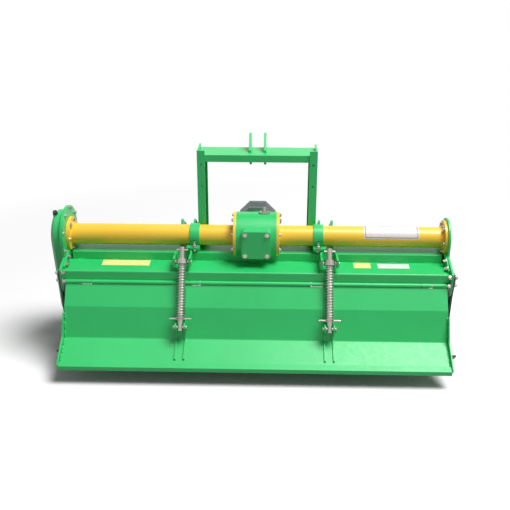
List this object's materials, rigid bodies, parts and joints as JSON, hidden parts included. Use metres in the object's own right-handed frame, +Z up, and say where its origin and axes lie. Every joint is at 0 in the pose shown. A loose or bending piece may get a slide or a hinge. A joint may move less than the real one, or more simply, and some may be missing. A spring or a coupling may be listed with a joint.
{
  "type": "rotary tiller",
  "caption": "Rear-mounted rotary tiller with box hood, side gear case, bladed rotor, sprung levelling flap and three-point headstock.",
  "frame": {"origin": "on the floor under the middle of the machine's box", "axes": "+X to the right seen from behind, +Y forward to the tractor, +Z up"},
  "size_m": [1.977, 0.71, 1.059],
  "materials": {
    "green_paint": "semi-gloss enamel",
    "yellow_paint": "gloss enamel",
    "black_paint": "satin enamel",
    "tine_paint": "satin enamel over forged steel",
    "zinc": "zinc plated",
    "spring_steel": "zinc plated wire",
    "bare_steel": "machined",
    "guard_plastic": "moulded, matt",
    "black_plastic": "moulded, matt"
  },
  "bodies": {
    "frame": {"gearbox_housing": "green_paint", "gearbox_rear_cover": "green_paint", "gearbox_breather": "zinc", "input_guard": "guard_plastic", "axle_tube_left": "yellow_paint", "axle_tube_right": "yellow_paint", "hood_deck": "green_paint", "hood_beam": "green_paint", "hood_end_left": "green_paint", "hood_end_right": "green_paint", "gear_case_plate": "green_paint", "gear_case_cover": "green_paint", "gear_case_breather": "black_plastic", "side_plate_right": "green_paint", "rotor_bearing": "green_paint", "headstock_left": "green_paint", "headstock_right": "green_paint", "headstock_beam": "green_paint", "top_link_lugs": "green_paint", "tube_clamp_left": "green_paint", "tube_clamp_right": "green_paint", "lower_hitch_left": "green_paint", "lower_hitch_right": "green_paint", "skid_left": "black_paint", "skid_right": "black_paint", "yoke_left": "green_paint", "yoke_right": "green_paint", "flap_hinge_rod": "bare_steel"},
    "rotor": {"rotor_tube": "black_paint", "tine_set_1": "tine_paint", "tine_set_2": "tine_paint", "tine_set_3": "tine_paint", "tine_set_4": "tine_paint", "tine_set_5": "tine_paint", "tine_set_6": "tine_paint", "tine_set_7": "tine_paint", "tine_set_8": "tine_paint"},
    "input": {"input_shaft": "bare_steel"},
    "flap": {"flap_panel": "green_paint", "flap_lip": "green_paint", "flap_end_left": "green_paint", "flap_end_right": "green_paint", "flap_lugs_left": "green_paint", "flap_lugs_right": "green_paint"},
    "trunnion_left": {"trunnion_left": "zinc", "spring_left": "spring_steel"},
    "rod_left": {"rod_left": "zinc"},
    "trunnion_right": {"trunnion_right": "zinc", "spring_right": "spring_steel"},
    "rod_right": {"rod_right": "zinc"}
  },
  "joints": [
    {"name": "rotor_spin", "type": "hinge", "parent": "frame", "child": "rotor", "pos_m": [0.0035, 0.10446, 0.236], "axis": [-1, 0, 0], "continuous": true},
    {"name": "input_spin", "type": "hinge", "parent": "frame", "child": "input", "pos_m": [0.0035, 0.23646, 0.59], "axis": [0, 1, 0], "continuous": true},
    {"name": "flap_hinge", "type": "hinge", "parent": "frame", "child": "flap", "pos_m": [0.0035, -0.10204, 0.41441], "axis": [-1, 0, 0], "range_deg": [0, 35], "deforming": ["spring_left", "spring_right"]},
    {"name": "trunnion_pivot_left", "type": "hinge", "parent": "frame", "child": "trunnion_left", "pos_m": [-0.3475, -0.08554, 0.51741], "axis": [-1, 0, 0], "range_deg": [0, 24.5]},
    {"name": "rod_pivot_left", "type": "hinge", "parent": "flap", "child": "rod_left", "pos_m": [-0.3475, -0.23468, 0.24601], "axis": [-1, 0, 0], "range_deg": [-10.6, 0]},
    {"name": "trunnion_pivot_right", "type": "hinge", "parent": "frame", "child": "trunnion_right", "pos_m": [0.3545, -0.08554, 0.51741], "axis": [-1, 0, 0], "range_deg": [0, 24.5]},
    {"name": "rod_pivot_right", "type": "hinge", "parent": "flap", "child": "rod_right", "pos_m": [0.3545, -0.23468, 0.24601], "axis": [-1, 0, 0], "range_deg": [-10.6, 0]}
  ],
  "couplings": [
    {"joint": "input_spin", "follows": "rotor_spin", "ratio": 2.45},
    {"joint": "trunnion_pivot_left", "follows": "flap_hinge", "ratio": 0.6982},
    {"joint": "rod_pivot_left", "follows": "flap_hinge", "ratio": -0.3018},
    {"joint": "trunnion_pivot_right", "follows": "flap_hinge", "ratio": 0.6982},
    {"joint": "rod_pivot_right", "follows": "flap_hinge", "ratio": -0.3018}
  ]
}
